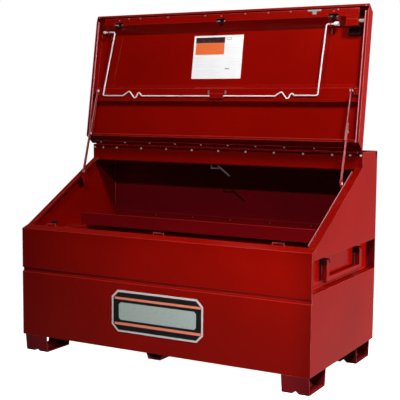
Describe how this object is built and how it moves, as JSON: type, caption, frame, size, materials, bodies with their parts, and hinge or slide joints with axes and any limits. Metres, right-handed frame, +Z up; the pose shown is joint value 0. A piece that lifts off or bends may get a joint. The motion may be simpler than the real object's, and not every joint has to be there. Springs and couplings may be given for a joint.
{
  "type": "jobsite storage box",
  "caption": "Steel jobsite tool chest with sloping front, full-length hinged lid held open on folding stays, drop handles in side recesses, inner shelf and channel feet.",
  "frame": {"origin": "centre of the footprint, on the floor under the feet", "axes": "+Z up, +X to the right when facing the front, front panel faces -Y"},
  "size_m": [1.524, 0.8022, 1.6799],
  "materials": {
    "red_enamel": "gloss enamel",
    "bright_steel": "zinc plated, satin",
    "bright_wire": "polished plating",
    "dark_steel": "dark satin",
    "plate_print": "satin, printed field",
    "card": "matt card"
  },
  "bodies": {
    "box": {"front_panel_lower": "red_enamel", "front_panel_upper": "red_enamel", "right_side_panel": "red_enamel", "left_side_panel": "red_enamel", "back_panel": "red_enamel", "floor_panel": "red_enamel", "top_deck": "red_enamel", "hinge_header": "red_enamel", "front_left_foot": "red_enamel", "front_right_foot": "red_enamel", "rear_left_foot": "red_enamel", "rear_right_foot": "red_enamel", "floor_runner": "red_enamel", "tool_shelf": "red_enamel", "shelf_bolts": "bright_steel", "left_striker": "red_enamel", "centre_striker": "red_enamel", "right_striker": "red_enamel", "hinge_body_leaf": "red_enamel", "hinge_pin": "bright_steel", "hinge_body_screws": "bright_steel", "right_stay_anchor": "red_enamel", "left_stay_anchor": "red_enamel", "stay_anchor_rivets": "bright_steel", "right_handle_lugs": "dark_steel", "left_handle_lugs": "dark_steel", "handle_pins": "dark_steel", "header_hook": "bright_steel", "front_plate": "plate_print"},
    "lid": {"hinge_lid_leaf": "red_enamel", "hinge_lid_screws": "bright_steel", "lid_shell": "red_enamel", "lid_front_channel": "red_enamel", "channel_rivets": "bright_steel", "lid_stiffener": "red_enamel", "right_stay_bracket": "red_enamel", "left_stay_bracket": "red_enamel", "stay_bracket_pins": "bright_steel", "lock_housing": "red_enamel", "padlock_tray": "dark_steel", "lock_barrel": "bright_steel", "latch_bearings": "dark_steel", "bail_brackets": "red_enamel", "bail_stops": "red_enamel", "lid_card": "card", "tee_plate": "bright_steel"},
    "latch": {"latch_shaft": "bright_steel", "latch_hooks": "dark_steel"},
    "bail": {"bail_wire": "bright_wire", "bail_end_caps": "bright_wire", "bail_tab": "red_enamel"},
    "right_lower": {"right_stay_lower_link": "red_enamel"},
    "left_lower": {"left_stay_lower_link": "red_enamel"},
    "right_upper": {"right_stay_upper_link": "red_enamel", "right_stay_knee_rivet": "bright_steel"},
    "left_upper": {"left_stay_upper_link": "red_enamel", "left_stay_knee_rivet": "bright_steel"},
    "right_handle": {"right_handle": "red_enamel"},
    "left_handle": {"left_handle": "red_enamel"}
  },
  "joints": [
    {"name": "lid_hinge", "type": "hinge", "parent": "box", "child": "lid", "pos_m": [0, 0.186, 0.9935], "axis": [1, 0, 0], "range_deg": [0, 128.05]},
    {"name": "right_lower_stay", "type": "hinge", "parent": "box", "child": "right_lower", "pos_m": [0.7145, 0.038, 0.8595], "axis": [1, 0, 0], "range_deg": [-1, 249.45]},
    {"name": "left_lower_stay", "type": "hinge", "parent": "box", "child": "left_lower", "pos_m": [-0.7145, 0.038, 0.8595], "axis": [1, 0, 0], "range_deg": [-1, 249.45]},
    {"name": "right_upper_stay", "type": "hinge", "parent": "lid", "child": "right_upper", "pos_m": [0.71, 0.16149, 1.27986], "axis": [1, 0, 0], "range_deg": [-38.66, 1]},
    {"name": "left_upper_stay", "type": "hinge", "parent": "lid", "child": "left_upper", "pos_m": [-0.71, 0.16149, 1.27986], "axis": [1, 0, 0], "range_deg": [-38.66, 1]},
    {"name": "latch_turn", "type": "hinge", "parent": "lid", "child": "latch", "pos_m": [0, 0.2544, 1.62697], "axis": [-1, 0, 0], "range_deg": [0, 45]},
    {"name": "bail_swing", "type": "hinge", "parent": "lid", "child": "bail", "pos_m": [0, 0.23838, 1.59268], "axis": [-1, 0, 0], "range_deg": [0, 100]},
    {"name": "right_handle_lift", "type": "hinge", "parent": "box", "child": "right_handle", "pos_m": [0.7425, 0.01, 0.5395], "axis": [0, -1, 0], "range_deg": [0, 90]},
    {"name": "left_handle_lift", "type": "hinge", "parent": "box", "child": "left_handle", "pos_m": [-0.7425, 0.01, 0.5395], "axis": [0, 1, 0], "range_deg": [0, 90]}
  ],
  "couplings": [
    {"joint": "right_lower_stay", "follows": "lid_hinge", "ratio": 1.9403},
    {"joint": "left_lower_stay", "follows": "lid_hinge", "ratio": 1.9403},
    {"joint": "right_upper_stay", "follows": "lid_hinge", "ratio": -0.29412},
    {"joint": "left_upper_stay", "follows": "lid_hinge", "ratio": -0.29412}
  ]
}
